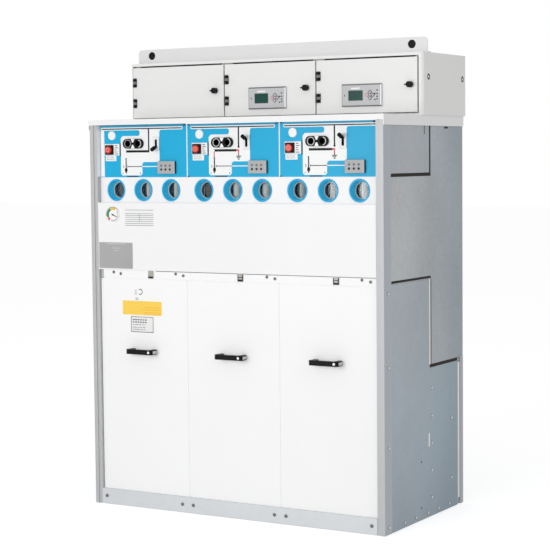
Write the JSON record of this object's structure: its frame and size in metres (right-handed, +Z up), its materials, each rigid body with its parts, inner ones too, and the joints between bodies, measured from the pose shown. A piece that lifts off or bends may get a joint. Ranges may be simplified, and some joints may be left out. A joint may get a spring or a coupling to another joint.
{
  "type": "gas insulated switchgear cabinet",
  "caption": "Free-standing gas insulated medium-voltage switchgear cabinet with cable covers, round windows, blue mimic panels and a low-voltage box on top.",
  "frame": {"origin": "on the floor at the middle of the base, between the four anchor holes", "axes": "+X to the right seen from the front, +Y to the back, +Z up"},
  "size_m": [1.13, 0.614, 1.558],
  "materials": {
    "white_paint": "smooth satin powder coat",
    "box_paint": "smooth satin powder coat, a little greyer",
    "galvanised": "hot-dip zinc coated sheet",
    "galvanised_strip": "bright zinc coated strip",
    "post_metal": "zinc coated folded profile",
    "tank_steel": "plain steel tank wall",
    "bright_steel": "bright zinc plated",
    "black_plastic": "moulded black",
    "grey_plastic": "moulded grey",
    "red_plastic": "red push button",
    "blue_plastic": "blue window surround",
    "blue_film": "printed blue front foil",
    "clear_glass": "clear window",
    "pale_resin": "cast resin housing",
    "dial_white": "white dial"
  },
  "bodies": {
    "cabinet": {"base_frame": "galvanised", "plinth_strip": "galvanised_strip", "corner_posts": "post_metal", "slit_strips": "galvanised_strip", "side_sheets": "galvanised", "tank_walls": "tank_steel", "tank_decks": "tank_steel", "tank_ends": "tank_steel", "rear_panel": "galvanised", "top_cover": "white_paint", "left_cable_cover": "white_paint", "centre_cable_cover": "white_paint", "right_cable_cover": "white_paint", "cover_handles": "black_plastic", "latch_strip": "white_paint", "cover_latches": "bright_steel", "middle_panel": "white_paint", "window_panel": "white_paint", "window_surrounds": "blue_plastic", "window_glasses": "clear_glass", "contact_housings": "pale_resin", "left_mimic_panel": "blue_film", "centre_mimic_panel": "blue_film", "right_mimic_panel": "blue_film", "left_drive_sockets": "black_plastic", "centre_drive_sockets": "black_plastic", "right_drive_sockets": "black_plastic", "button_bezels": "black_plastic", "selector_guides": "bright_steel", "voltage_indicators": "grey_plastic", "pressure_gauge": "dial_white", "lv_floor": "box_paint", "lv_roof": "box_paint", "lv_rear_wall": "box_paint", "lv_end_walls": "box_paint", "lv_mullions": "box_paint", "lv_hinges": "black_plastic", "lifting_rail": "box_paint"},
    "left_door": {"left_lv_door": "box_paint", "left_door_knuckles": "bright_steel"},
    "left_lock": {"left_door_lock": "black_plastic"},
    "left_button": {"left_off_button": "red_plastic"},
    "left_lever": {"left_selector_lever": "black_plastic"},
    "centre_door": {"centre_lv_door": "box_paint", "centre_door_knuckles": "bright_steel", "centre_relay": "grey_plastic"},
    "centre_lock": {"centre_door_lock": "black_plastic"},
    "centre_button": {"centre_off_button": "red_plastic"},
    "centre_lever": {"centre_selector_lever": "black_plastic"},
    "right_door": {"right_lv_door": "box_paint", "right_door_knuckles": "bright_steel", "right_relay": "grey_plastic"},
    "right_lock": {"right_door_lock": "black_plastic"},
    "right_button": {"right_off_button": "red_plastic"},
    "right_lever": {"right_selector_lever": "black_plastic"}
  },
  "joints": [
    {"name": "left_door_hinge", "type": "hinge", "parent": "cabinet", "child": "left_door", "pos_m": [-0.552, -0.032, 1.4055], "axis": [0, 0, -1], "range_deg": [0, 105]},
    {"name": "left_lock_turn", "type": "hinge", "parent": "left_door", "child": "left_lock", "pos_m": [-0.21817, -0.029, 1.4055], "axis": [0, -1, 0], "range_deg": [0, 90]},
    {"name": "left_button_push", "type": "slide", "parent": "cabinet", "child": "left_button", "axis": [0, 1, 0], "range_m": [0, 0.004], "stiffness_N_per_m": 1500},
    {"name": "left_lever_throw", "type": "hinge", "parent": "cabinet", "child": "left_lever", "pos_m": [-0.29733, -0.258, 1.226], "axis": [-1, 0, 0], "range_deg": [0, 50]},
    {"name": "centre_door_hinge", "type": "hinge", "parent": "cabinet", "child": "centre_door", "pos_m": [-0.17217, -0.032, 1.4055], "axis": [0, 0, -1], "range_deg": [0, 105]},
    {"name": "centre_lock_turn", "type": "hinge", "parent": "centre_door", "child": "centre_lock", "pos_m": [0.13817, -0.029, 1.4055], "axis": [0, -1, 0], "range_deg": [0, 90]},
    {"name": "centre_button_push", "type": "slide", "parent": "cabinet", "child": "centre_button", "axis": [0, 1, 0], "range_m": [0, 0.004], "stiffness_N_per_m": 1500},
    {"name": "centre_lever_throw", "type": "hinge", "parent": "cabinet", "child": "centre_lever", "pos_m": [0.054, -0.258, 1.226], "axis": [1, 0, 0], "range_deg": [0, 50]},
    {"name": "right_door_hinge", "type": "hinge", "parent": "cabinet", "child": "right_door", "pos_m": [0.18417, -0.032, 1.4055], "axis": [0, 0, -1], "range_deg": [0, 105]},
    {"name": "right_lock_turn", "type": "hinge", "parent": "right_door", "child": "right_lock", "pos_m": [0.519, -0.029, 1.4055], "axis": [0, -1, 0], "range_deg": [0, 90]},
    {"name": "right_button_push", "type": "slide", "parent": "cabinet", "child": "right_button", "axis": [0, 1, 0], "range_m": [0, 0.004], "stiffness_N_per_m": 1500},
    {"name": "right_lever_throw", "type": "hinge", "parent": "cabinet", "child": "right_lever", "pos_m": [0.40533, -0.258, 1.226], "axis": [1, 0, 0], "range_deg": [0, 50]}
  ]
}
